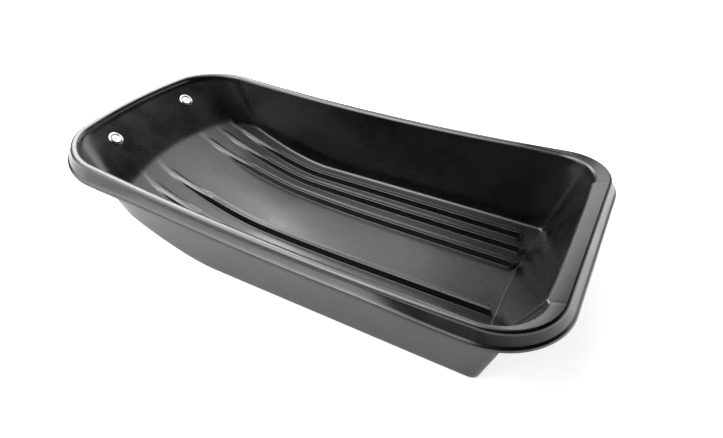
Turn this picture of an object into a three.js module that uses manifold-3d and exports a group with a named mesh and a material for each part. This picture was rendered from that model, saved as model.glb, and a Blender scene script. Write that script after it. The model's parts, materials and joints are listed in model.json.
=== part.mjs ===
// Ice fishing sled: a moulded tub with a rolled rim, ribbed floor and two tow grommets.
// Millimetres. X runs forward to the tow end, Y to the left, Z up from the snow.
import * as THREE from 'three';
import { mergeVertices } from 'three/addons/utils/BufferGeometryUtils.js';
import Module from 'manifold-3d';

// Moulded sheet
const sheet = 3;

// Rim crest in plan: the line along the top of the rolled rim
const crest_length = 1144;
const crest_stern_half = 298;
const crest_bow_half = 268;
const crest_stern_corner = 102;
const crest_bow_corner = 120;
const crest_bow_depth = 42;

// Rim crest in side view, above the snow
const crest_low = 182;
const crest_low_x = -50;
const crest_bow_rise = 32;
const crest_stern_rise = 23;

// Rim section, measured from the crest
const rim_lean = 11;
const rim_crown = 9;
const rim_top_half = 1.5;
const crease_out = 9;
const crease_drop = 7;
const skirt_out = 19;
const skirt_drop = 26;
const lip_out = 24;
const lip_drop = 30;
const lip_corner_ease = 12;

// Hand shelf across the stern
const shelf_width = 20;
const shelf_half = 214;
const shelf_fade = 30;

// Floor in plan, at the foot of the walls
const floor_stern_x = -450;
const floor_bow_x = 452;
const floor_stern_half = 247;
const floor_bow_half = 239;
const floor_stern_corner = 16;
const floor_bow_corner = 52;
const floor_bow_depth = 45;
const floor_stern_sag = 18;
const foot_fillet = 8;

// Floor in side view: flat at the stern, then sweeping up to the bow
const keel_flat_x = -229;
const side_flat_x = 125;
const keel_bow_rise = 110;
const keel_power = 3.1;
const side_power = 1.65;

// Runner along each side: a trough outside the ribs, lower than the floor
const runner_depth = 4.5;
const runner_flat_x = 140;
const runner_bow_rise = 105;

// Ribs along the floor
const rib_height = 16;
const rib_top = 16;
const rib_slope = 3;
const rib_inner_y = 81;
const rib_middle_y = 139;
const rib_outer_y = 190;
const rib_nose_inset = 13;
const rib_outer_nose_inset = 35;
const rib_nose_run = 9;
const rib_bow_run = 130;

// Even middle part of the floor: its edges past the ribs and behind the bow
const bed_margin = 2;
const bed_bow_inset = 44;

// Tow grommets in the bow wall: an eyelet from inside, clinched over a washer outside
const grommet_spacing = 245;
const grommet_below_crest = 41;
const hole_radius = 10.5;
const bore_radius = 9;
const hole_clearance = 0.4;
const seat_gap = 0.3;
const wall_bow = 0.3;
const flange_radius = 17;
const flange_edge = 1;
const flange_crown = 2.2;
const washer_thick = 1.5;
const clinch_radius = 13;
const clinch_thick = 1;

// Fineness
const flat_steps = 4;
const sweep_steps = 14;
const wall_steps = 3;
const bend_steps = 3;
const ring_sides = 28;
const solve_steps = 30;
const slack_share = 0.0001;

const rib_nose_x = floor_stern_x + rib_nose_inset;
const rib_outer_nose_x = floor_stern_x + rib_outer_nose_inset;
const rib_half_foot = rib_top / 2 + rib_slope;
const bed_stern_x = rib_nose_x - bed_margin;
const bed_bow_x = floor_bow_x - bed_bow_inset;
const bed_half = rib_outer_y + rib_half_foot + bed_margin;

const crest_plan = {
  stern: -crest_length / 2,
  bow: crest_length / 2,
  stern_half: crest_stern_half,
  bow_half: crest_bow_half,
  stern_corner: crest_stern_corner,
  bow_corner: crest_bow_corner,
  depth: crest_bow_depth,
  sag: 0,
};
const foot_plan = {
  stern: floor_stern_x,
  bow: floor_bow_x,
  stern_half: floor_stern_half,
  bow_half: floor_bow_half,
  stern_corner: floor_stern_corner,
  bow_corner: floor_bow_corner,
  depth: floor_bow_depth,
  sag: floor_stern_sag,
};

const mix = (a, b, share) => a + (b - a) * share;
const smooth = (share) => share * share * (3 - 2 * share);
const clamp = (share) => Math.min(Math.max(share, 0), 1);

// How far a point beside the centre line lies behind it, where the ends are curved
function endSweep(plan, x, y) {
  const along = clamp((x - plan.stern) / (plan.bow - plan.stern));
  const aside = y / plan.stern_half;
  return aside * aside * (plan.depth * along ** 3 + plan.sag * (1 - along) ** 3);
}

// Point on a rounded, tapered outline; u and v run from -1 to 1 round its square
function outlinePoint(plan, u, v) {
  const half_length = (plan.bow - plan.stern) / 2;
  const half = plan.stern_half;
  const corner = u > 0 ? plan.bow_corner : plan.stern_corner;
  const past_x = Math.abs(u) * half_length - (half_length - corner);
  const past_y = Math.abs(v) * half - (half - corner);
  let x = u * half_length;
  let y = v * half;
  if (past_x > 0 && past_y > 0) {
    const even = past_x > past_y;
    const turn = Math.PI / 4 * (even ? past_y / past_x : 2 - past_x / past_y);
    x = Math.sign(u) * (half_length - corner + corner * Math.cos(turn));
    y = Math.sign(v) * (half - corner + corner * Math.sin(turn));
  }
  x += (plan.bow + plan.stern) / 2;
  const along = (x - plan.stern) / (plan.bow - plan.stern);
  y *= mix(1, plan.bow_half / half, along);
  return new THREE.Vector2(x - endSweep(plan, x, y), y);
}

// The same outline drawn in by an even margin, its corners made rounder by an ease
function insetPlan(plan, margin, ease) {
  return {
    ...plan,
    stern: plan.stern + margin,
    bow: plan.bow - margin,
    stern_half: plan.stern_half - margin,
    bow_half: plan.bow_half - margin,
    stern_corner: plan.stern_corner - margin + ease,
    bow_corner: plan.bow_corner - margin + ease,
  };
}

// Share of the rise to the bow that a line reaches at x
function sweep(flat_x, power, x) {
  return clamp((x - flat_x) / (floor_bow_x - flat_x)) ** power;
}

// Height of the upper face without its ribs: the floor, whose sides sweep up later than
// its middle, or a runner's trough, or the slope between them
function floorHeight(x, y, trough) {
  const aside = clamp(Math.abs(y) / rib_outer_y);
  const middle = sweep(keel_flat_x, keel_power, x);
  const side = sweep(side_flat_x, side_power, x);
  const floor = sheet + runner_depth + keel_bow_rise * mix(middle, side, smooth(aside));
  const runner = sheet + runner_bow_rise * sweep(runner_flat_x, side_power, x);
  return mix(floor, runner, trough);
}

// Share of the way from the floor down to a runner's trough
function troughShare(y) {
  const inner = rib_outer_y + rib_top / 2;
  return clamp((Math.abs(y) - inner) / rib_slope);
}

function crestHeight(x) {
  const ahead = x > crest_low_x;
  const end = ahead ? crest_plan.bow : crest_plan.stern;
  const rise = ahead ? crest_bow_rise : crest_stern_rise;
  const along = (x - crest_low_x) / (end - crest_low_x);
  return crest_low + rise * along * along;
}

// Lines across the floor that the ribs' edges follow, from right to left
function bedRows() {
  const half_top = rib_top / 2;
  const left = [];
  for (const middle of [rib_inner_y, rib_middle_y, rib_outer_y]) {
    left.push(middle - rib_half_foot, middle - half_top);
    left.push(middle + half_top, middle + rib_half_foot);
  }
  left.push(bed_half, rib_inner_y / 2, (rib_inner_y + rib_middle_y) / 2);
  left.sort((a, b) => a - b);
  const right = left.map((y) => -y).reverse();
  return [...right, 0, ...left];
}

// Stations along the floor, closer together where it sweeps up
function bedStations() {
  const stations = [bed_stern_x, rib_nose_x, rib_nose_x + rib_nose_run, rib_outer_nose_x];
  const start = rib_outer_nose_x + rib_nose_run;
  for (let i = 0; i < flat_steps; i += 1) {
    stations.push(mix(start, keel_flat_x, i / flat_steps));
  }
  for (let i = 0; i <= sweep_steps; i += 1) {
    const share = Math.sin(Math.PI / 2 * i / sweep_steps);
    stations.push(mix(keel_flat_x, bed_bow_x, mix(i / sweep_steps, share, 0.5)));
  }
  return stations;
}

// Height that the ribs add to the floor at a station
function ribRise(station, y) {
  for (const middle of [rib_inner_y, rib_middle_y, rib_outer_y]) {
    const aside = rib_half_foot - Math.abs(Math.abs(y) - middle);
    if (aside > 0) {
      const nose = middle === rib_outer_y ? rib_outer_nose_x : rib_nose_x;
      const past_nose = clamp((station - nose) / rib_nose_run);
      const before_bow = clamp((floor_bow_x - station) / rib_bow_run);
      return rib_height * clamp(aside / rib_slope) * past_nose * before_bow;
    }
  }
  return 0;
}

// Points of the rim's section, outwards from the crest and up from it
function rimSection() {
  const points = [];
  for (let i = 0; i <= bend_steps; i += 1) {
    const turn = Math.PI / 2 * i / bend_steps;
    const out = -rim_top_half - (rim_lean - rim_top_half) * Math.cos(turn);
    points.push({ out, up: rim_crown * (Math.sin(turn) - 1), inner: true });
  }
  for (let i = 0; i <= bend_steps; i += 1) {
    const turn = Math.PI / 2 * i / bend_steps;
    const out = rim_top_half + (crease_out - rim_top_half) * Math.sin(turn);
    points.push({ out, up: crease_drop * (Math.cos(turn) - 1) });
  }
  points.push({ out: skirt_out, up: -skirt_drop }, { out: lip_out, up: -lip_drop });
  return points;
}

// One point of the rim at a place round the sled
function rimPoint(place, step) {
  let out = step.out;
  if (step.inner && place.u === -1) {
    const y = Math.abs(outlinePoint(crest_plan, place.u, place.v).y);
    out -= shelf_width * smooth(clamp((shelf_half + shelf_fade - y) / shelf_fade));
  }
  const ease = lip_corner_ease * clamp(out / lip_out);
  const flat = outlinePoint(insetPlan(crest_plan, -out, ease), place.u, place.v);
  return new THREE.Vector3(flat.x, flat.y, crestHeight(flat.x) + step.up);
}

// One point of the bend at the foot of the wall, and of the wall above it
function footPoint(place, share) {
  const near = outlinePoint(insetPlan(foot_plan, foot_fillet, 0), place.u, place.v);
  const foot = outlinePoint(foot_plan, place.u, place.v);
  const low = floorHeight(near.x, near.y, place.trough) + place.rib;
  const start = new THREE.Vector3(near.x, near.y, low);
  const bend = floorHeight(foot.x, foot.y, place.trough) + place.rib * (1 - share);
  const knee = new THREE.Vector3(foot.x, foot.y, bend);
  const end = wallPoint(place, 0);
  return new THREE.QuadraticBezierCurve3(start, knee, end).getPoint(share);
}

function wallPoint(place, share) {
  const foot = outlinePoint(foot_plan, place.u, place.v);
  const low = new THREE.Vector3(foot.x, foot.y, floorHeight(foot.x, foot.y, place.trough));
  const high = rimPoint(place, rimSection()[0]);
  const start = foot_fillet / low.distanceTo(high);
  return low.lerp(high, mix(start, 1, share));
}

// Upper skin: the floor's bed, then closed rings out to the lip
function upperSkin() {
  const rows = bedRows();
  const stations = bedStations();
  const points = [];
  const quads = [];
  const at = (i, j) => i * rows.length + j;
  for (const station of stations) {
    for (const y of rows) {
      const x = station - endSweep(foot_plan, station, y);
      const height = floorHeight(x, y, troughShare(y)) + ribRise(station, y);
      points.push(new THREE.Vector3(x, y, height));
    }
  }
  const last_i = stations.length - 1;
  const last_j = rows.length - 1;
  for (let i = 0; i < last_i; i += 1) {
    for (let j = 0; j < last_j; j += 1) {
      quads.push([at(i, j), at(i + 1, j), at(i + 1, j + 1), at(i, j + 1)]);
    }
  }
  const places = [];
  const toU = (x) => 2 * (x - bed_stern_x) / (bed_bow_x - bed_stern_x) - 1;
  const toSternV = (y) => y / bed_half;
  const toBowV = (y) => (Math.abs(y) < bed_half ? y / floor_bow_half : Math.sign(y));
  for (let i = 0; i < last_i; i += 1) {
    places.push({ index: at(i, 0), u: toU(stations[i]), v: -1 });
  }
  for (let j = 0; j < last_j; j += 1) {
    places.push({ index: at(last_i, j), u: 1, v: toBowV(rows[j]) });
  }
  for (let i = last_i; i > 0; i -= 1) {
    places.push({ index: at(i, last_j), u: toU(stations[i]), v: 1 });
  }
  for (let j = last_j; j > 0; j -= 1) {
    places.push({ index: at(0, j), u: -1, v: toSternV(rows[j]) });
  }
  for (const place of places) {
    const y = points[place.index].y;
    place.rib = place.u === 1 ? ribRise(bed_bow_x, y) : 0;
    place.trough = troughShare(y);
  }
  const steps = [];
  for (let k = 0; k < bend_steps; k += 1) {
    steps.push((place) => footPoint(place, k / bend_steps));
  }
  for (let k = 0; k < wall_steps; k += 1) {
    steps.push((place) => wallPoint(place, k / wall_steps));
  }
  for (const step of rimSection()) {
    steps.push((place) => rimPoint(place, step));
  }
  let ring = places.map((place) => place.index);
  for (const step of steps) {
    const next = places.map((place, k) => points.length + k);
    points.push(...places.map(step));
    for (let k = 0; k < ring.length; k += 1) {
      const after = (k + 1) % ring.length;
      quads.push([ring[k], next[k], next[after], ring[after]]);
    }
    ring = next;
  }
  return { points, quads, lip: ring };
}

// Facing of a four-sided patch
function quadNormal(points, quad) {
  const [a, b, c, d] = quad.map((index) => points[index]);
  const across = new THREE.Vector3().subVectors(c, a);
  return across.cross(new THREE.Vector3().subVectors(d, b)).normalize();
}

// Step from a corner of the upper skin to the lower one, square to every patch round it
function sheetStep(normals) {
  const total = new THREE.Vector3();
  const products = new Array(9).fill(0);
  for (const normal of normals) {
    const axes = normal.toArray();
    total.add(normal);
    products.forEach((value, k) => {
      products[k] = value + axes[Math.floor(k / 3)] * axes[k % 3];
    });
  }
  for (const k of [0, 4, 8]) {
    products[k] += slack_share;
  }
  const spread = new THREE.Matrix3().fromArray(products).invert();
  return total.applyMatrix3(spread).multiplyScalar(-sheet);
}

// Lower skin: the upper skin moved by the sheet's thickness
function lowerPoints(points, quads) {
  const around = points.map(() => []);
  for (const quad of quads) {
    const normal = quadNormal(points, quad);
    quad.forEach((index) => around[index].push(normal));
  }
  return points.map((point, index) => point.clone().add(sheetStep(around[index])));
}

function splitQuad(points, [a, b, c, d]) {
  const even = points[a].distanceTo(points[c]) <= points[b].distanceTo(points[d]);
  return even ? [a, b, c, a, c, d] : [a, b, d, b, c, d];
}

// The whole tub as one closed shell
function tubGeometry() {
  const upper = upperSkin();
  const lower = lowerPoints(upper.points, upper.quads);
  const points = [...upper.points, ...lower];
  const shift = upper.points.length;
  const indices = [];
  for (const quad of upper.quads) {
    const split = splitQuad(points, quad);
    indices.push(...split);
    for (let i = 0; i < split.length; i += 3) {
      indices.push(split[i] + shift, split[i + 2] + shift, split[i + 1] + shift);
    }
  }
  upper.lip.forEach((index, k) => {
    const after = upper.lip[(k + 1) % upper.lip.length];
    indices.push(index, index + shift, after + shift, index, after + shift, after);
  });
  const geometry = new THREE.BufferGeometry().setFromPoints(points);
  geometry.setIndex(indices);
  return geometry;
}

const wasm = await Module();
wasm.setup();

function toSolid(geometry) {
  const plain = geometry.clone();
  plain.deleteAttribute('normal');
  plain.deleteAttribute('uv');
  const merged = mergeVertices(plain);
  return new wasm.Manifold(new wasm.Mesh({
    numProp: 3,
    vertProperties: new Float32Array(merged.attributes.position.array),
    triVerts: new Uint32Array(merged.index.array),
  }));
}

function toGeometry(solid) {
  const mesh = solid.getMesh();
  const geometry = new THREE.BufferGeometry();
  const positions = new THREE.BufferAttribute(new Float32Array(mesh.vertProperties), 3);
  geometry.setAttribute('position', positions);
  geometry.setIndex(new THREE.BufferAttribute(new Uint32Array(mesh.triVerts), 1));
  geometry.computeVertexNormals();
  return geometry;
}

// Share from 0 to 1 at which a rising measure reaches zero
function solve(measure) {
  let low = 0;
  let high = 1;
  for (let i = 0; i < solve_steps; i += 1) {
    const middle = (low + high) / 2;
    if (measure(middle) < 0) {
      low = middle;
    } else {
      high = middle;
    }
  }
  return low;
}

// Frame on the inner face of the bow wall at a grommet's centre, Z square to the wall
function grommetFrame(side) {
  const at = (v, share) => wallPoint({ u: 1, v: side * v, rib: 0, trough: 0 }, share);
  const height = crestHeight(crest_plan.bow) - grommet_below_crest;
  const across = (share) => solve((v) => Math.abs(at(v, share).y) - grommet_spacing / 2);
  const share = solve((value) => at(across(value), value).z - height);
  const v = across(share);
  const centre = at(v, share);
  const step_share = flange_radius / centre.length();
  const rise = at(v, share + step_share).sub(at(v, share - step_share));
  const run = at(v + step_share, share).sub(at(v - step_share, share));
  const normal = rise.cross(run).multiplyScalar(side).normalize();
  const frame = new THREE.Group();
  frame.position.copy(centre);
  frame.quaternion.setFromUnitVectors(new THREE.Vector3(0, 0, 1), normal);
  frame.updateMatrix();
  return frame;
}

// Ring turned about Z from a closed list of radius and height pairs
function turned(profile) {
  const points = [...profile, profile[0]].map(([radius, z]) => new THREE.Vector2(radius, z));
  const geometry = new THREE.LatheGeometry(points, ring_sides);
  return toGeometry(toSolid(geometry.rotateX(Math.PI / 2)));
}

function plastic() {
  return new THREE.MeshStandardMaterial({ color: 0x17181a, roughness: 0.3, metalness: 0 });
}

function plated() {
  return new THREE.MeshStandardMaterial({ color: 0xd8d9d6, roughness: 0.3, metalness: 1 });
}

// Tub with its two grommet holes
function makeHull(frames) {
  let solid = toSolid(tubGeometry());
  for (const frame of frames) {
    const length = 2 * flange_radius;
    const drill = new THREE.CylinderGeometry(hole_radius, hole_radius, length, ring_sides);
    drill.rotateX(Math.PI / 2).applyMatrix4(frame.matrix);
    solid = solid.subtract(toSolid(drill));
  }
  const mesh = new THREE.Mesh(toGeometry(solid), plastic());
  mesh.name = 'hull';
  return mesh;
}

// Eyelet: crowned flange inside the tub, barrel through the wall, clinched end outside
function makeEyelet(name) {
  const barrel = hole_radius - hole_clearance;
  const middle = (barrel + flange_radius) / 2;
  const seat = wall_bow + seat_gap;
  const back = -sheet - seat_gap - washer_thick - seat_gap;
  const end = back - clinch_thick;
  const profile = [
    [bore_radius, end],
    [clinch_radius, end],
    [clinch_radius, back],
    [barrel, back],
    [barrel, seat],
    [flange_radius, seat],
    [flange_radius, seat + flange_edge],
    [middle, seat + flange_crown],
    [barrel, seat + flange_crown],
    [bore_radius, seat + flange_edge],
  ];
  const mesh = new THREE.Mesh(turned(profile), plated());
  mesh.name = name;
  return mesh;
}

// Flat washer between the wall's outer face and the clinched end
function makeWasher(name) {
  const top = -sheet - seat_gap;
  const profile = [
    [hole_radius, top - washer_thick],
    [flange_radius, top - washer_thick],
    [flange_radius, top],
    [hole_radius, top],
  ];
  const mesh = new THREE.Mesh(turned(profile), plated());
  mesh.name = name;
  return mesh;
}

const sled = new THREE.Group();
const sides = { left: 1, right: -1 };
const frames = Object.values(sides).map(grommetFrame);
sled.add(makeHull(frames));
Object.keys(sides).forEach((name, i) => {
  frames[i].add(makeEyelet(`eyelet_${name}`), makeWasher(`washer_${name}`));
  sled.add(frames[i]);
});

export default sled;
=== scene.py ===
import json
import math
import bpy
import numpy as np
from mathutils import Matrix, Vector

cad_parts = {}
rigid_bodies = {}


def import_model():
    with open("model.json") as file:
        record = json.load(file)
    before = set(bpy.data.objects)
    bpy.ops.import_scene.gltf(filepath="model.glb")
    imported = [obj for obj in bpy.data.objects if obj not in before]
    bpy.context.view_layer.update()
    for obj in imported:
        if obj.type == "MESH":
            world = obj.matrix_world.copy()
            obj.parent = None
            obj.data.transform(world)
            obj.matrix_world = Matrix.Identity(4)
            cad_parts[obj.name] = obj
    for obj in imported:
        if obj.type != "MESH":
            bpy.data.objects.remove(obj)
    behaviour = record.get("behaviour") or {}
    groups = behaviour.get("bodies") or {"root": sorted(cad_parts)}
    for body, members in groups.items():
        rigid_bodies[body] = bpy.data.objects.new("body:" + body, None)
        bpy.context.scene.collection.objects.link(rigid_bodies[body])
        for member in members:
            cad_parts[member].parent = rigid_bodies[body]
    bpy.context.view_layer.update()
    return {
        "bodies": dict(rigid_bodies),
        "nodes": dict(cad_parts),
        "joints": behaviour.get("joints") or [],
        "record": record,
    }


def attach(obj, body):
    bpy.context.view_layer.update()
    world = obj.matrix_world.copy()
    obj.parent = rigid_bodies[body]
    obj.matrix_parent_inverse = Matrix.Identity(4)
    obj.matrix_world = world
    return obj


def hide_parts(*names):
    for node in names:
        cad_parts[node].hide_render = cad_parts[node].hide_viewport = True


# Shapes are drawn in millimetres and scaled to metres when their meshes are made
MILLIMETRE = 0.001

# Thickness of the moulded sheet
SHEET = 3.0

# Rim crest in plan: the line along the top of the rolled rim
CREST_LENGTH = 1144.0
CREST_STERN_HALF = 298.0
CREST_BOW_HALF = 268.0
CREST_STERN_CORNER = 102.0
CREST_BOW_CORNER = 120.0
CREST_BOW_DEPTH = 42.0
END_CURVE_POWER = 3

# Rim crest in side view, above the snow
CREST_LOW = 185.0
CREST_LOW_X = -50.0
CREST_BOW_RISE = 29.0
CREST_STERN_RISE = 20.0

# Rim section, by distances from the crest: inner slope, crease, skirt, lip and the lip's edge
RIM_LEAN = 11.0
RIM_CROWN = 9.0
RIM_TOP_HALF = 1.5
CREASE_OUT = 9.0
CREASE_DROP = 7.0
CREASE_ROUND = 4.0
SKIRT_OUT = 18.0
SKIRT_DROP = 25.0
LIP_OUT = 22.5
LIP_DROP = 28.0
EDGE_OUT = 24.0
EDGE_DROP = 33.0
LIP_ROUND = 1.5
LIP_CORNER_EASE = 12.0

# The flange is shallower along the sides than at the ends
SIDE_LIFT = 8.0
SIDE_LIFT_END = 440.0
SIDE_LIFT_RUN = 200.0

# Stern: the rim reaches further in and widens to a hand shelf, which dips towards the floor
STERN_INNER_SHIFT = 15.0
SHELF_WIDTH = 18.0
SHELF_FLARE = 3.0
SHELF_FLARE_POWER = 4
SHELF_HALF = 192.0
SHELF_FADE = 24.0
SHELF_DIP = 6.5
SHELF_DIP_RUN = 130.0

# Floor in plan, at the foot of the walls
FLOOR_STERN_X = -450.0
FLOOR_BOW_X = 452.0
FLOOR_STERN_HALF = 247.0
FLOOR_BOW_HALF = 239.0
FLOOR_STERN_CORNER = 16.0
FLOOR_BOW_CORNER = 52.0
FLOOR_BOW_DEPTH = 45.0
FLOOR_STERN_SAG = 18.0
FOOT_FILLET = 8.0
FOOT_STERN_FILLET = 3.0

# Floor in side view: flat at the stern, then sweeping up to the bow
KEEL_FLAT_X = -229.0
SIDE_FLAT_X = 125.0
KEEL_BOW_RISE = 110.0
KEEL_POWER = 3.1
SIDE_POWER = 1.65

# Runner along each side: a trough outside the ribs, lower than the floor. On the bow wall the
# step down to it is spread outwards from a share of the half width
RUNNER_DEPTH = 4.5
RUNNER_FLAT_X = 140.0
RUNNER_BOW_RISE = 105.0
RUNNER_WALL_SHARE = 0.7

# Ribs along the floor: dished tops, slanted or pointed noses at the stern, fading at the bow
RIB_HEIGHT = 16.0
RIB_TOP = 16.0
RIB_SLOPE = 3.0
RIB_DISH = 1.4
RIB_DISH_FLOOR = 1.0
RIB_DISH_ROUND = 0.9
RIB_EDGE_ROUND = 1.8
RIB_FOOT_ROUND = 1.2
RIB_INNER_Y = 81.0
RIB_MIDDLE_Y = 139.0
RIB_OUTER_Y = 190.0
RIB_NOSE_INSET = 5.0
RIB_OUTER_NOSE_INSET = 30.0
RIB_NOSE_RUN = 4.0
RIB_NOSE_SLANT = 12.0
RIB_NOSE_POINT = 10.0
RIB_BOW_INSET = 6.0
RIB_BOW_RUN = 175.0

# Bed, the even middle part of the floor: its edges beyond the ribs and behind the bow
BED_MARGIN = 1.0
BED_SIDE_MARGIN = 6.0
BED_BOW_INSET = 44.0

# Tow grommets in the bow wall: an eyelet from inside, clinched over a washer outside. The hole
# is cut by a tube, whose core leaves a small plug of sheet in the middle of the bore
GROMMET_SPACING = 245.0
GROMMET_BELOW_CREST = 41.0
HOLE_RADIUS = 10.5
TOOL_CORE_RADIUS = 2.0
BORE_RADIUS = 9.0
HOLE_CLEARANCE = 0.4
SEAT = 0.6
SEAT_GAP = 0.3
FLANGE_RADIUS = 17.0
FLANGE_EDGE = 1.0
FLANGE_CROWN = 2.2
WASHER_THICK = 1.5
CLINCH_RADIUS = 13.0
CLINCH_THICK = 1.0
CLINCH_ROUND = 0.4
BARREL_ROUND = 0.1
SEAT_ROUND = 0.3
FLANGE_EDGE_ROUND = 0.5
FLANGE_CROWN_ROUND = 1.8
BORE_MOUTH_ROUND = 0.9
WASHER_ROUND = 0.3

# Fineness of the meshes, and how closely a place on the wall is solved
STATION_STEP = 6.0
ROW_STEP = 4.5
ROW_DECIMALS = 3
FAN_STEPS = 8
ROUND_STEPS = 5
NOSE_STEPS = 5
STRIP_STEPS = 5
FOOT_STEPS = 10
WALL_STEPS = 12
RIM_STEPS = 9
RING_SIDES = 72
SOLVE_STEPS = 30
TINY = 1e-12

# Noises of the finishes, by cells per metre, and the part of a noise's range that is used
MOTTLE = {"scale": 16.0, "detail": 4.0}
SCUFF = {"scale": 90.0, "detail": 3.0}
PEEL = {"scale": 420.0, "detail": 2.0}
PATCHES = {"scale": 180.0, "detail": 5.0}
GRAIN = {"scale": 900.0, "detail": 2.0}
SPECKLE = {"scale": 30.0, "detail": 2.0}
UNIT_RANGE = (0.0, 1.0)
NOISE_RANGE = (0.3, 0.7)

# Black plastic: mottled, scuffed lengthwise, with a fine orange peel
PLASTIC_DARK = (0.0006, 0.0006, 0.0006)
PLASTIC_LIGHT = (0.004, 0.004, 0.004)
PLASTIC_ROUGHNESS = (0.24, 0.32)
PLASTIC_IOR = 1.75
MOTTLE_TONE = (0.0, 0.5)
SCUFF_STRETCH = (0.25, 4.0, 4.0)
SCUFF_RANGE = (0.55, 0.8)
SCUFF_ROUGHNESS = (0.0, 0.04)
PEEL_BUMP = {"distance": 0.0002, "strength": 0.25}

# Nickel plate
NICKEL_DARK = (0.66, 0.66, 0.64)
NICKEL_LIGHT = (0.86, 0.86, 0.85)
NICKEL_ROUGHNESS = (0.16, 0.32)
GRAIN_BUMP = {"distance": 0.0001, "strength": 0.3}

# Studio floor and backdrop. Reflections show the floor brighter on the far side of the sled,
# and the backdrop strongest low down in front of the camera
WHITE = (1.0, 1.0, 1.0, 1.0)
FLOOR_DARK = (0.88, 0.88, 0.88)
FLOOR_LIGHT = (0.9, 0.9, 0.9)
FLOOR_ROUGHNESS = 0.9
FLOOR_SIZE = 16.0
FLOOR_GLOW = 0.8
FLOOR_MIRRORED_NEAR = 0.3
FLOOR_MIRRORED_FAR = 1.0
FLOOR_MIRRORED_EDGE = 0.5
WORLD_LIGHT = 0.1
BACKDROP_LIGHT = 0.9
BACKDROP_FULL = -0.9
BACKDROP_FADE = 2.0

# Camera solved from the photograph: its place in metres and its direction of view
CAMERA_PLACE = (-0.589, 0.900, 0.8427)
CAMERA_LOOK = (0.3815, -0.7007, -0.6030)
CAMERA_LENS_MM = 27.98
SENSOR_WIDTH_MM = 36.0
CAMERA_REACH = 50.0

# Studio panels on a dome round the sled, placed by degrees from the bow and up from the snow
PANEL_AIM = (0.0, 0.0, 0.1)
PANEL_DISTANCE = 2.6
PANEL_WIDTH = 1.25
PANEL_HEIGHT = 1.15
PANELS = {
    "overhead": {"azimuth": 0, "elevation": 87, "radiance": 1.9},
    "high_bow": {"azimuth": 0, "elevation": 62, "radiance": 4.8},
    "high_left": {"azimuth": 51, "elevation": 62, "radiance": 6.8},
    "high_right": {"azimuth": -51, "elevation": 62, "radiance": 2.2},
    "bow": {"azimuth": 0, "elevation": 37, "radiance": 2.3},
    "bow_left": {"azimuth": 33, "elevation": 37, "radiance": 3.0},
    "left": {"azimuth": 65, "elevation": 37, "radiance": 3.2},
    "bow_right": {"azimuth": -33, "elevation": 37, "radiance": 8.0},
    "far_right": {"azimuth": -60, "elevation": 37, "radiance": 1.5},
    "right": {"azimuth": -86, "elevation": 27, "radiance": 2.2},
    "low_bow_left": {"azimuth": 30, "elevation": 12, "radiance": 2.4},
    "low_bow_right": {"azimuth": -30, "elevation": 12, "radiance": 2.4},
    "low_stern_right": {"azimuth": 210, "elevation": 12, "radiance": 1.2},
    "low_right": {"azimuth": 240, "elevation": 12, "radiance": 0.5},
}

# Places and tables that follow from the sizes above
RIB_NOSE_X = FLOOR_STERN_X + RIB_NOSE_INSET
RIB_OUTER_NOSE_X = FLOOR_STERN_X + RIB_OUTER_NOSE_INSET
RIB_HALF_FOOT = RIB_TOP / 2 + RIB_SLOPE
RIBS = (
    {"middle": RIB_INNER_Y, "nose": RIB_NOSE_X, "slant": RIB_NOSE_SLANT, "point": 0.0},
    {"middle": RIB_MIDDLE_Y, "nose": RIB_NOSE_X, "slant": RIB_NOSE_SLANT, "point": 0.0},
    {"middle": RIB_OUTER_Y, "nose": RIB_OUTER_NOSE_X, "slant": 0.0, "point": RIB_NOSE_POINT},
)
BED_STERN_X = RIB_NOSE_X - BED_MARGIN
BED_BOW_X = FLOOR_BOW_X - BED_BOW_INSET
BED_HALF = RIB_OUTER_Y + RIB_HALF_FOOT + BED_SIDE_MARGIN

# Outlines in plan: ends, half widths, corner radii, and how far the two ends curve back
CREST_PLAN = {
    "stern": -CREST_LENGTH / 2,
    "bow": CREST_LENGTH / 2,
    "stern_half": CREST_STERN_HALF,
    "bow_half": CREST_BOW_HALF,
    "stern_corner": CREST_STERN_CORNER,
    "bow_corner": CREST_BOW_CORNER,
    "depth": CREST_BOW_DEPTH,
    "sag": 0.0,
}
FOOT_PLAN = {
    "stern": FLOOR_STERN_X,
    "bow": FLOOR_BOW_X,
    "stern_half": FLOOR_STERN_HALF,
    "bow_half": FLOOR_BOW_HALF,
    "stern_corner": FLOOR_STERN_CORNER,
    "bow_corner": FLOOR_BOW_CORNER,
    "depth": FLOOR_BOW_DEPTH,
    "sag": FLOOR_STERN_SAG,
}


def mix(a, b, share):
    """The value at a share of the way from a to b."""
    return a + (b - a) * share


def clamp(share):
    """A share held between 0 and 1."""
    return np.clip(share, 0.0, 1.0)


def smooth(share):
    """A share that sets off and arrives level."""
    return share * share * (3 - 2 * share)


def end_sweep(plan, x, y):
    """How far a point beside the centre line lies behind it, where the ends are curved."""
    along = clamp((x - plan["stern"]) / (plan["bow"] - plan["stern"]))
    aside = y / plan["stern_half"]
    depth = plan["depth"] * along**END_CURVE_POWER
    sag = plan["sag"] * (1 - along) ** END_CURVE_POWER
    return aside**2 * (depth + sag)


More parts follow.
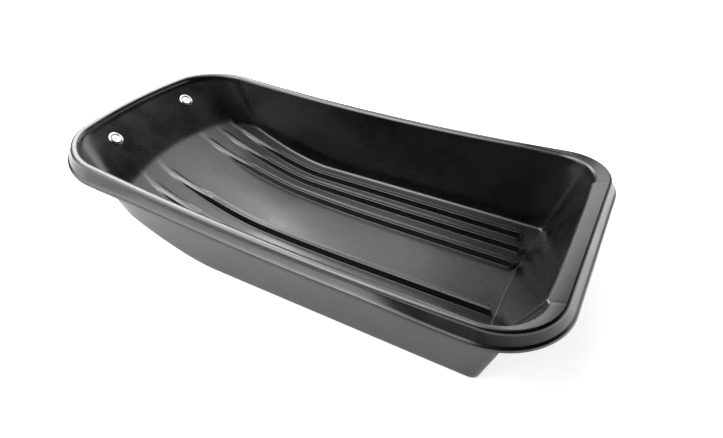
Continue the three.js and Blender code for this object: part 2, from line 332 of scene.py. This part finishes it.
def outline_point(plan, u, v):
    """Points on a rounded, tapered outline; u and v run from -1 to 1 round its square."""
    half_length = (plan["bow"] - plan["stern"]) / 2
    half = plan["stern_half"]
    corner = np.where(u > 0, plan["bow_corner"], plan["stern_corner"])
    past_x = np.abs(u) * half_length - (half_length - corner)
    past_y = np.abs(v) * half - (half - corner)
    in_corner = (past_x > 0) & (past_y > 0)
    safe_x = np.where(in_corner, past_x, 1.0)
    safe_y = np.where(in_corner, past_y, 1.0)
    even = safe_x > safe_y
    turn = math.pi / 4 * np.where(even, safe_y / safe_x, 2 - safe_x / safe_y)
    round_x = np.sign(u) * (half_length - corner + corner * np.cos(turn))
    round_y = np.sign(v) * (half - corner + corner * np.sin(turn))
    x = np.where(in_corner, round_x, u * half_length)
    y = np.where(in_corner, round_y, v * half)
    x = x + (plan["bow"] + plan["stern"]) / 2
    along = (x - plan["stern"]) / (plan["bow"] - plan["stern"])
    y = y * mix(1.0, plan["bow_half"] / half, along)
    return x - end_sweep(plan, x, y), y


def inset_plan(plan, margin, ease=0.0):
    """The same outline drawn in by an even margin, its corners made rounder by an ease."""
    drawn = dict(plan)
    drawn["stern"] = plan["stern"] + margin
    drawn["bow"] = plan["bow"] - margin
    drawn["stern_half"] = plan["stern_half"] - margin
    drawn["bow_half"] = plan["bow_half"] - margin
    drawn["stern_corner"] = plan["stern_corner"] - margin + ease
    drawn["bow_corner"] = plan["bow_corner"] - margin + ease
    return drawn


def sweep(flat_x, power, x):
    """Share of the rise to the bow that a line reaches at x."""
    return clamp((x - flat_x) / (FLOOR_BOW_X - flat_x)) ** power


def floor_height(x, y, trough):
    """Height of the upper face without ribs: the floor, a runner's trough or the slope between."""
    aside = clamp(np.abs(y) / RIB_OUTER_Y)
    middle = sweep(KEEL_FLAT_X, KEEL_POWER, x)
    side = sweep(SIDE_FLAT_X, SIDE_POWER, x)
    floor = SHEET + RUNNER_DEPTH + KEEL_BOW_RISE * mix(middle, side, smooth(aside))
    runner = SHEET + RUNNER_BOW_RISE * sweep(RUNNER_FLAT_X, SIDE_POWER, x)
    return mix(floor, runner, trough)


def trough_share(y):
    """Share of the way from the floor down to a runner's trough, past the outer rib."""
    aside, share = rib_profile()
    undished = np.maximum.accumulate(share[::-1])[::-1]
    past = np.maximum(np.abs(y) - RIB_OUTER_Y, 0.0)
    return 1.0 - np.interp(past, aside, undished / undished.max())


def crest_height(x):
    """Height of the rim's crest, lowest behind the middle and rising to both ends."""
    ahead = x > CREST_LOW_X
    end = np.where(ahead, CREST_PLAN["bow"], CREST_PLAN["stern"])
    rise = np.where(ahead, CREST_BOW_RISE, CREST_STERN_RISE)
    along = (x - CREST_LOW_X) / (end - CREST_LOW_X)
    return CREST_LOW + rise * along**2


def rounded_path(corners, radii):
    """A polyline whose corners are rounded: points along it, in order."""
    points = [np.array(corners[0], float)]
    for before, corner, after, radius in zip(corners, corners[1:], corners[2:], radii):
        a, b, c = (np.array(p, float) for p in (before, corner, after))
        start = b + (a - b) / np.linalg.norm(a - b) * radius
        end = b + (c - b) / np.linalg.norm(c - b) * radius
        for k in range(ROUND_STEPS + 1):
            t = k / ROUND_STEPS
            points.append((1 - t) ** 2 * start + 2 * t * (1 - t) * b + t * t * end)
    points.append(np.array(corners[-1], float))
    return np.array(points)


def rib_profile():
    """Half of a rib's section: distances from its middle and shares of its height."""
    corners = [
        (0.0, RIB_HEIGHT - RIB_DISH),
        (RIB_DISH_FLOOR, RIB_HEIGHT - RIB_DISH),
        (RIB_TOP / 2, RIB_HEIGHT),
        (RIB_HALF_FOOT, 0.0),
        (RIB_HALF_FOOT + 2 * RIB_FOOT_ROUND, 0.0),
    ]
    path = rounded_path(corners, (RIB_DISH_ROUND, RIB_EDGE_ROUND, RIB_FOOT_ROUND))
    return path[:, 0], path[:, 1] / RIB_HEIGHT


def rib_rise(station, y):
    """Height that the ribs add to the floor at a station."""
    aside, share = rib_profile()
    soft = clamp((FLOOR_BOW_X - RIB_BOW_INSET - station) / RIB_BOW_RUN)
    total = np.zeros_like(y)
    for rib in RIBS:
        offset = (np.abs(y) - rib["middle"]) / RIB_HALF_FOOT
        sharp = np.interp(np.abs(offset) * RIB_HALF_FOOT, aside, share)
        worn = smooth(clamp(1 - np.abs(offset)))
        start = rib["nose"] + rib["slant"] * (1 - offset) / 2 + rib["point"] * offset**2
        end = smooth(clamp((station - start) / RIB_NOSE_RUN))
        total = np.maximum(total, mix(worn, sharp, soft) * end)
    return RIB_HEIGHT * total * soft


def bed_rows():
    """Lines along the floor, close together where the ribs bend."""
    aside, _ = rib_profile()
    fixed = np.linspace(RIB_OUTER_Y + RIB_HALF_FOOT, BED_HALF, FAN_STEPS + 1).tolist()
    for rib in RIBS:
        fixed += [rib["middle"] + a for a in aside] + [rib["middle"] - a for a in aside]
    fixed = sorted({round(y, ROW_DECIMALS) for y in fixed if 0 < y <= BED_HALF})
    left = []
    low = 0.0
    for high in fixed:
        gaps = math.ceil((high - low) / ROW_STEP)
        left += [mix(low, high, (k + 1) / gaps) for k in range(gaps)]
        low = high
    left = np.array(left)
    return np.concatenate([-left[::-1], [0.0], left])


def bed_stations():
    """Lines across the floor, close together at the ribs' noses."""
    nose_end = RIB_OUTER_NOSE_X + RIB_NOSE_POINT + RIB_NOSE_RUN
    fine = np.arange(BED_STERN_X, nose_end, RIB_NOSE_RUN / NOSE_STEPS)
    count = math.ceil((BED_BOW_X - nose_end) / STATION_STEP)
    return np.concatenate([fine, np.linspace(nose_end, BED_BOW_X, count)])


def rim_section():
    """The rim's section: how far out and up from the crest, and whether inside it. The crease's
    rounding takes the place of the crown's last points."""
    inner = []
    crown = []
    for k in range(RIM_STEPS + 1):
        turn = math.pi / 2 * k / RIM_STEPS
        out = -RIM_TOP_HALF - (RIM_LEAN - RIM_TOP_HALF) * math.cos(turn)
        inner.append((out, RIM_CROWN * (math.sin(turn) - 1), True))
        out = RIM_TOP_HALF + (CREASE_OUT - RIM_TOP_HALF) * math.sin(turn)
        crown.append((out, CREASE_DROP * (math.cos(turn) - 1)))
    flange = [(SKIRT_OUT, -SKIRT_DROP), (LIP_OUT, -LIP_DROP), (EDGE_OUT, -EDGE_DROP)]
    rounds = (CREASE_ROUND / 2, LIP_ROUND, LIP_ROUND)
    path = rounded_path([crown[-3], crown[-1], *flange], rounds)
    return inner + [(out, up, False) for out, up in (*crown[:-2], *path[1:])]


def rim_point(u, v, step):
    """One point of the rim at a place round the sled."""
    out, up, inner = step
    plan = inset_plan(CREST_PLAN, -out, LIP_CORNER_EASE * clamp(out / EDGE_OUT))
    if inner:
        return inner_rim_point(plan, u, v, up)
    x, y = outline_point(plan, u, v)
    flange = clamp((out - CREASE_OUT) / (SKIRT_OUT - CREASE_OUT))
    lift = SIDE_LIFT * smooth(clamp((SIDE_LIFT_END - np.abs(x)) / SIDE_LIFT_RUN))
    return np.stack([x, y, crest_height(x) + up + flange * lift], axis=-1)


def inner_rim_point(even_plan, u, v, up):
    """A point between the wall and the crest. At the stern the rim is wider there, and dips."""
    even_x, _ = outline_point(even_plan, u, v)
    plan = dict(even_plan, stern=even_plan["stern"] + STERN_INNER_SHIFT)
    x, y = outline_point(plan, u, v)
    width = SHELF_WIDTH + SHELF_FLARE * (y / SHELF_HALF) ** SHELF_FLARE_POWER
    on_shelf = smooth(clamp((SHELF_HALF + SHELF_FADE - np.abs(y)) / SHELF_FADE))
    x = np.where(u == -1, np.maximum(x, even_plan["stern"] + width * on_shelf), x)
    corner_end = CREST_PLAN["stern"] + CREST_STERN_CORNER
    at_stern = smooth(clamp((corner_end + SHELF_DIP_RUN - x) / SHELF_DIP_RUN))
    wider = clamp((x - even_x) / SHELF_WIDTH)
    dip = SHELF_DIP * wider * at_stern
    return np.stack([x, y, crest_height(x) + up - dip], axis=-1)


def near_point(u, v):
    """A place on the floor where the fillet at the foot of the walls starts."""
    plan = inset_plan(FOOT_PLAN, FOOT_FILLET)
    plan["stern"] = FLOOR_STERN_X + FOOT_STERN_FILLET
    return outline_point(plan, u, v)


def wall_point(u, v, trough, share):
    """A point of the wall, at a share of the way from its foot's fillet up to the rim."""
    x, y = outline_point(FOOT_PLAN, u, v)
    low = np.stack([x, y, floor_height(x, y, trough)], axis=-1)
    high = rim_point(u, v, rim_section()[0])
    start = FOOT_FILLET / np.linalg.norm(high - low, axis=-1, keepdims=True)
    return mix(low, high, mix(start, 1.0, share))


class Skin:
    """The tub's upper face as a grid for the floor's bed and closed rings round it."""

    def __init__(self):
        self.points = []
        self.quads = []
        self.count = 0
        self.add_bed(bed_stations(), bed_rows())
        self.add_rings()

    def add_points(self, points):
        """Adds points and says the number of the first one."""
        first = self.count
        self.points.append(points.reshape(-1, 3))
        self.count += len(self.points[-1])
        return first

    def add_bed(self, stations, rows):
        """The middle of the floor with its ribs."""
        station, y = np.meshgrid(stations, rows, indexing="ij")
        x = station - end_sweep(FOOT_PLAN, station, y)
        z = floor_height(x, y, trough_share(y)) + rib_rise(station, y)
        self.add_points(np.stack([x, y, z], axis=-1))
        grid = np.arange(station.size).reshape(station.shape)
        corners = (grid[:-1, :-1], grid[1:, :-1], grid[1:, 1:], grid[:-1, 1:])
        self.quads.append(np.stack(corners, axis=-1).reshape(-1, 4))
        self.find_edge(grid, stations, rows)

    def find_edge(self, grid, stations, rows):
        """The bed's edge, round from its right stern corner, and its places on the outlines."""
        u_of = 2 * (stations - BED_STERN_X) / (BED_BOW_X - BED_STERN_X) - 1
        stern_v = rows / BED_HALF
        last_rib = RIB_OUTER_Y + RIB_HALF_FOOT
        fan_y = (0.0, last_rib, BED_HALF)
        fan_v = (0.0, last_rib / FLOOR_BOW_HALF, 1.0)
        bow_v = np.sign(rows) * np.interp(np.abs(rows), fan_y, fan_v)
        last_i = len(stations) - 1
        last_j = len(rows) - 1
        sides = (grid[:last_i, 0], grid[last_i, :last_j], grid[last_i:0:-1, last_j])
        self.edge = np.concatenate([*sides, grid[0, last_j:0:-1]])
        along = np.ones(last_i)
        across = np.ones(last_j)
        self.u = np.concatenate([u_of[:last_i], across, u_of[last_i:0:-1], -across])
        self.v = np.concatenate([-along, bow_v[:last_j], along, stern_v[last_j:0:-1]])
        self.bed = self.points[0][self.edge]
        self.trough = trough_share(self.bed[:, 1])
        past_share = clamp((np.abs(self.v) - RUNNER_WALL_SHARE) / (1 - RUNNER_WALL_SHARE))
        self.wall_trough = np.where(self.u == 1, smooth(past_share), self.trough)

    def add_rings(self):
        """Rings from the bed's edge out to the foot, up the walls and over the rim to the lip."""
        rings = [self.strip(k / STRIP_STEPS) for k in range(1, STRIP_STEPS)]
        rings += [self.foot(k / FOOT_STEPS) for k in range(FOOT_STEPS)]
        rings += [self.wall(k / WALL_STEPS) for k in range(WALL_STEPS)]
        rings += [rim_point(self.u, self.v, step) for step in rim_section()]
        ring = self.edge
        for points in rings:
            after = self.add_points(points) + np.arange(len(ring))
            corners = (ring, after, np.roll(after, -1), np.roll(ring, -1))
            self.quads.append(np.stack(corners, axis=-1))
            ring = after
        self.lip = ring

    def floor_point(self, x, y):
        """A point outside the bed; each rib runs on towards the bow wall until it fades out."""
        rib = rib_rise(x + end_sweep(FOOT_PLAN, x, y), self.bed[:, 1])
        rib = np.where(self.u == 1, rib, 0.0)
        return np.stack([x, y, floor_height(x, y, self.trough) + rib], axis=-1)

    def strip(self, share):
        """A ring on the floor, between the bed's edge and the fillet of the walls."""
        x, y = near_point(self.u, self.v)
        return self.floor_point(mix(self.bed[:, 0], x, share), mix(self.bed[:, 1], y, share))

    def foot(self, share):
        """A ring in the fillet between the floor and the walls."""
        start = self.floor_point(*near_point(self.u, self.v))
        knee = self.floor_point(*outline_point(FOOT_PLAN, self.u, self.v))
        return mix(mix(start, knee, share), mix(knee, self.wall(0.0), share), share)

    def wall(self, share):
        """A ring on the walls."""
        return wall_point(self.u, self.v, self.wall_trough, share)


def point_normals(points, quads):
    """Facing of each point: the mean of the faces round it."""
    a, b, c, d = (points[quads[:, k]] for k in range(4))
    facing = np.cross(c - a, d - b)
    facing /= np.maximum(np.linalg.norm(facing, axis=1, keepdims=True), TINY)
    total = np.zeros_like(points)
    for k in range(4):
        np.add.at(total, quads[:, k], facing)
    return total / np.maximum(np.linalg.norm(total, axis=1, keepdims=True), TINY)


def mesh_piece(name, points, faces, material):
    """A smooth mesh object from points in millimetres."""
    mesh = bpy.data.meshes.new(name)
    mesh.from_pydata((points * MILLIMETRE).tolist(), [], faces)
    mesh.validate()
    mesh.polygons.foreach_set("use_smooth", np.ones(len(mesh.polygons), dtype=bool))
    mesh.materials.append(material)
    mesh.update()
    piece = bpy.data.objects.new(name, mesh)
    bpy.context.scene.collection.objects.link(piece)
    return piece


def hull_piece(material):
    """The tub as one closed shell: upper face, lower face and the lip's edge between them."""
    skin = Skin()
    upper = np.concatenate(skin.points)
    quads = np.concatenate(skin.quads)
    lower = upper - point_normals(upper, quads) * SHEET
    # No point of the soles goes below the snow
    lower[:, 2] = np.maximum(lower[:, 2], 0.0)
    shift = len(upper)
    lip = skin.lip
    after = np.roll(lip, -1)
    edge = np.stack([lip, lip + shift, after + shift, after], axis=-1)
    faces = np.concatenate([quads, quads[:, ::-1] + shift, edge])
    return mesh_piece("hull_moulded", np.concatenate([upper, lower]), faces.tolist(), material)


def solve(measure):
    """Share from 0 to 1 at which a rising measure reaches zero."""
    low = 0.0
    high = 1.0
    for _ in range(SOLVE_STEPS):
        middle = (low + high) / 2
        if measure(middle) < 0:
            low = middle
        else:
            high = middle
    return low


def grommet_frame(side):
    """Place and turn of a grommet on the inner face of the bow wall, Z square to the wall."""

    def at(v, share):
        return wall_point(np.array(1.0), np.array(side * v), 0.0, share)

    def across(share):
        return solve(lambda v: abs(at(v, share)[1]) - GROMMET_SPACING / 2)

    height = crest_height(np.array(CREST_PLAN["bow"])) - GROMMET_BELOW_CREST
    share = solve(lambda value: at(across(value), value)[2] - height)
    v = across(share)
    centre = at(v, share)
    step = FLANGE_RADIUS / np.linalg.norm(centre)
    rise = at(v, share + step) - at(v, share - step)
    run = at(v + step, share) - at(v - step, share)
    normal = Vector(np.cross(rise, run) * side).normalized()
    turn = Vector((0, 0, 1)).rotation_difference(normal).to_matrix()
    return centre, np.array(turn)


def turned_piece(name, profile, frame, material):
    """A ring turned about the frame's Z from a closed list of radius and height pairs."""
    centre, turn = frame
    angles = np.arange(RING_SIDES) * 2 * math.pi / RING_SIDES
    profile = np.array(profile)
    radius, height = profile[:, 0], profile[:, 1]
    x = np.cos(angles)[:, None] * radius
    y = np.sin(angles)[:, None] * radius
    z = np.tile(height, (RING_SIDES, 1))
    points = np.stack([x, y, z], axis=-1).reshape(-1, 3) @ turn.T + centre
    grid = np.arange(RING_SIDES * len(profile)).reshape(RING_SIDES, -1)
    corners = (grid, np.roll(grid, -1, 0), np.roll(grid, (-1, -1), (0, 1)), np.roll(grid, -1, 1))
    faces = np.stack(corners, axis=-1).reshape(-1, 4).tolist()
    return mesh_piece(name, points, faces, material)


def drill(piece, frame):
    """Cuts a grommet hole with a short tube as the tool, set square to the wall."""
    reach = FLANGE_RADIUS
    outside = [(HOLE_RADIUS, -reach), (HOLE_RADIUS, reach)]
    core = [(TOOL_CORE_RADIUS, reach), (TOOL_CORE_RADIUS, -reach)]
    profile = outside + core
    tool = turned_piece("hole_tool", profile, frame, piece.data.materials[0])
    cut = piece.modifiers.new("hole", "BOOLEAN")
    cut.operation = "DIFFERENCE"
    cut.solver = "EXACT"
    cut.object = tool
    bpy.context.view_layer.objects.active = piece
    bpy.ops.object.modifier_apply(modifier=cut.name)
    bpy.data.objects.remove(tool)


def closed_profile(start, corners):
    """A closed section from a start on a straight stretch, by radius, height and round."""
    places = [(radius, height) for radius, height, _ in corners]
    return rounded_path([start, *places, start], [corner[2] for corner in corners])[:-1]


def eyelet_profile():
    """Rounded section of the eyelet: crowned flange, barrel and clinched end."""
    barrel = HOLE_RADIUS - HOLE_CLEARANCE
    back = -SHEET - SEAT_GAP - WASHER_THICK - SEAT_GAP
    end = back - CLINCH_THICK
    middle = (barrel + FLANGE_RADIUS) / 2
    crown = SEAT + FLANGE_CROWN
    edge = SEAT + FLANGE_EDGE
    corners = [
        (BORE_RADIUS, end, CLINCH_ROUND),
        (CLINCH_RADIUS, end, CLINCH_ROUND),
        (CLINCH_RADIUS, back, CLINCH_ROUND),
        (barrel, back, BARREL_ROUND),
        (barrel, SEAT, BARREL_ROUND),
        (FLANGE_RADIUS, SEAT, SEAT_ROUND),
        (FLANGE_RADIUS, edge, FLANGE_EDGE_ROUND),
        (middle, crown, FLANGE_CROWN_ROUND),
        (barrel, crown, BORE_MOUTH_ROUND),
        (BORE_RADIUS, edge, BORE_MOUTH_ROUND),
    ]
    return closed_profile((BORE_RADIUS, (end + edge) / 2), corners)


def washer_profile():
    """Rounded section of the flat washer behind the sheet."""
    top = -SHEET - SEAT_GAP
    low = top - WASHER_THICK
    corners = [
        (FLANGE_RADIUS, low, WASHER_ROUND),
        (FLANGE_RADIUS, top, WASHER_ROUND),
        (HOLE_RADIUS, top, WASHER_ROUND),
        (HOLE_RADIUS, low, WASHER_ROUND),
    ]
    return closed_profile(((HOLE_RADIUS + FLANGE_RADIUS) / 2, low), corners)


class Tree:
    """The nodes of a material or of the world, with one method for each kind in use."""

    def __init__(self, owner):
        owner.use_nodes = True
        self.nodes = owner.node_tree.nodes
        self.links = owner.node_tree.links

    def outputs(self, kind):
        """Outputs of a new node that has nothing to set."""
        return self.nodes.new(kind).outputs

    def place(self):
        """Place on the object, in metres."""
        return self.outputs("ShaderNodeTexCoord")["Object"]

    def parts(self, vector):
        """X, Y and Z of a vector."""
        node = self.nodes.new("ShaderNodeSeparateXYZ")
        self.links.new(vector, node.inputs["Vector"])
        return node.outputs

    def stretched(self, vector, scale):
        """A place scaled along each axis."""
        node = self.nodes.new("ShaderNodeMapping")
        node.inputs["Scale"].default_value = scale
        self.links.new(vector, node.inputs["Vector"])
        return node.outputs["Vector"]

    def noise(self, vector, scale, detail):
        node = self.nodes.new("ShaderNodeTexNoise")
        node.inputs["Scale"].default_value = scale
        node.inputs["Detail"].default_value = detail
        self.links.new(vector, node.inputs["Vector"])
        return node.outputs["Fac"]

    def spread(self, value, source, target):
        """Maps one range of a value onto another range, and holds it there."""
        node = self.nodes.new("ShaderNodeMapRange")
        for name, limit in zip(("From Min", "From Max", "To Min", "To Max"), (*source, *target)):
            node.inputs[name].default_value = limit
        self.links.new(value, node.inputs["Value"])
        return node.outputs["Result"]

    def sum_of(self, first, second):
        node = self.nodes.new("ShaderNodeMath")
        node.operation = "ADD"
        self.links.new(first, node.inputs[0])
        self.links.new(second, node.inputs[1])
        return node.outputs["Value"]

    def blend(self, share, low, high):
        """A value between low and high, each a number or another node's output."""
        node = self.nodes.new("ShaderNodeMix")
        node.data_type = "FLOAT"
        self.links.new(share, node.inputs["Factor"])
        for name, value in (("A", low), ("B", high)):
            if isinstance(value, float):
                node.inputs[name].default_value = value
            else:
                self.links.new(value, node.inputs[name])
        return node.outputs["Result"]

    def shades(self, share, dark, light):
        """A colour between a dark and a light one."""
        node = self.nodes.new("ShaderNodeMix")
        node.data_type = "RGBA"
        node.inputs["A"].default_value = (*dark, 1.0)
        node.inputs["B"].default_value = (*light, 1.0)
        self.links.new(share, node.inputs["Factor"])
        return node.outputs["Result"]

    def bump(self, height, distance, strength):
        """The shading of a relief."""
        node = self.nodes.new("ShaderNodeBump")
        node.inputs["Distance"].default_value = distance
        node.inputs["Strength"].default_value = strength
        self.links.new(height, node.inputs["Height"])
        return node.outputs["Normal"]


class Finish(Tree):
    """A new material and the inputs of its shader."""

    def __init__(self, name):
        self.material = bpy.data.materials.new(name)
        super().__init__(self.material)
        self.inputs = self.nodes["Principled BSDF"].inputs

    def lead(self, name, value):
        """Leads a node's output to one of the shader's inputs."""
        self.links.new(value, self.inputs[name])


def polyethylene():
    """Black moulded polyethylene: mottled gloss, orange peel and fine lengthwise scuffs."""
    finish = Finish("black_polyethylene")
    place = finish.place()
    mottle = finish.noise(place, **MOTTLE)
    scuffs = finish.noise(finish.stretched(place, SCUFF_STRETCH), **SCUFF)
    scuffs = finish.spread(scuffs, SCUFF_RANGE, UNIT_RANGE)
    tone = finish.sum_of(finish.spread(mottle, NOISE_RANGE, MOTTLE_TONE), scuffs)
    finish.lead("Base Color", finish.shades(tone, PLASTIC_DARK, PLASTIC_LIGHT))
    rough = finish.spread(mottle, NOISE_RANGE, PLASTIC_ROUGHNESS)
    worn = finish.spread(scuffs, UNIT_RANGE, SCUFF_ROUGHNESS)
    finish.lead("Roughness", finish.sum_of(rough, worn))
    finish.lead("Normal", finish.bump(finish.noise(place, **PEEL), **PEEL_BUMP))
    finish.inputs["IOR"].default_value = PLASTIC_IOR
    return finish.material


def nickel():
    """Bright nickel plate, slightly dulled in patches."""
    finish = Finish("nickel_plate")
    place = finish.place()
    patches = finish.noise(place, **PATCHES)
    finish.lead("Base Color", finish.shades(patches, NICKEL_DARK, NICKEL_LIGHT))
    finish.lead("Roughness", finish.spread(patches, NOISE_RANGE, NICKEL_ROUGHNESS))
    finish.lead("Normal", finish.bump(finish.noise(place, **GRAIN), **GRAIN_BUMP))
    finish.inputs["Metallic"].default_value = 1.0
    return finish.material


def make_world():
    """A faint even light, and a white backdrop that reflections show too, fading upwards."""
    world = bpy.data.worlds.new("studio")
    bpy.context.scene.world = world
    tree = Tree(world)
    path = tree.outputs("ShaderNodeLightPath")
    parts = tree.parts(tree.outputs("ShaderNodeTexCoord")["Generated"])
    height = tree.spread(parts["Z"], UNIT_RANGE, (0.0, BACKDROP_FADE))
    ahead = tree.sum_of(parts["Y"], height)
    backdrop = tree.spread(ahead, (BACKDROP_FULL, 0.0), (BACKDROP_LIGHT, 0.0))
    light = tree.blend(path["Is Glossy Ray"], WORLD_LIGHT, backdrop)
    light = tree.blend(path["Is Camera Ray"], light, 1.0)
    light = tree.blend(path["Is Transmission Ray"], light, 1.0)
    background = tree.nodes["Background"]
    background.inputs["Color"].default_value = WHITE
    tree.links.new(light, background.inputs["Strength"])


def pale_floor():
    """Pale floor that looks white and keeps a faint shadow. Reflections show it fading nearer."""
    finish = Finish("pale_floor")
    place = finish.place()
    speckle = finish.noise(place, **SPECKLE)
    finish.lead("Base Color", finish.shades(speckle, FLOOR_DARK, FLOOR_LIGHT))
    path = finish.outputs("ShaderNodeLightPath")
    mirrored = finish.sum_of(path["Is Glossy Ray"], path["Is Transmission Ray"])
    across = (-FLOOR_MIRRORED_EDGE, FLOOR_MIRRORED_EDGE)
    fade = (FLOOR_MIRRORED_FAR, FLOOR_MIRRORED_NEAR)
    glow = finish.spread(finish.parts(place)["Y"], across, fade)
    glow = finish.blend(mirrored, 0.0, glow)
    glow = finish.blend(path["Is Camera Ray"], glow, FLOOR_GLOW)
    finish.lead("Emission Strength", glow)
    finish.inputs["Emission Color"].default_value = WHITE
    finish.inputs["Roughness"].default_value = FLOOR_ROUGHNESS
    return finish.material


def make_floor(material):
    """The studio's floor, which isn't part of the sled."""
    bpy.ops.mesh.primitive_plane_add(size=FLOOR_SIZE)
    floor = bpy.context.object
    floor.name = "studio_floor"
    floor.data.materials.append(material)


def panel(name, azimuth, elevation, radiance):
    """A large even lamp that faces the sled. Its power follows from its size and radiance."""
    lamp = bpy.data.lights.new(name, "AREA")
    lamp.shape = "RECTANGLE"
    lamp.size = PANEL_WIDTH
    lamp.size_y = PANEL_HEIGHT
    lamp.energy = radiance * math.pi * PANEL_WIDTH * PANEL_HEIGHT
    piece = bpy.data.objects.new(name, lamp)
    turn = math.radians(azimuth)
    rise = math.radians(elevation)
    level = math.cos(rise)
    away = Vector((math.cos(turn) * level, math.sin(turn) * level, math.sin(rise)))
    piece.location = Vector(PANEL_AIM) + away * PANEL_DISTANCE
    piece.rotation_euler = (-away).to_track_quat("-Z", "Y").to_euler()
    piece.visible_camera = False
    bpy.context.scene.collection.objects.link(piece)


def make_camera():
    """The photograph's camera."""
    camera = bpy.data.objects.new("camera", bpy.data.cameras.new("camera"))
    camera.location = CAMERA_PLACE
    camera.rotation_euler = Vector(CAMERA_LOOK).to_track_quat("-Z", "Y").to_euler()
    camera.data.lens = CAMERA_LENS_MM
    camera.data.sensor_width = SENSOR_WIDTH_MM
    camera.data.sensor_fit = "HORIZONTAL"
    camera.data.clip_end = CAMERA_REACH
    bpy.context.scene.collection.objects.link(camera)
    bpy.context.scene.camera = camera


def dress(plastic, metal):
    """The sled's visible pieces, each in place of its CAD node."""
    hull = hull_piece(plastic)
    for name, side in (("left", 1), ("right", -1)):
        seat = grommet_frame(side)
        drill(hull, seat)
        for kind, profile in (("eyelet", eyelet_profile()), ("washer", washer_profile())):
            ring = turned_piece(f"{kind}_turned_{name}", profile, seat, metal)
            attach(ring, "root")
            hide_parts(f"{kind}_{name}")
    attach(hull, "root")
    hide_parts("hull")


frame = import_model()
dress(polyethylene(), nickel())
make_world()
make_floor(pale_floor())
for name, lamp in PANELS.items():
    panel(name, **lamp)
make_camera()
bpy.context.scene.view_settings.view_transform = "Standard"
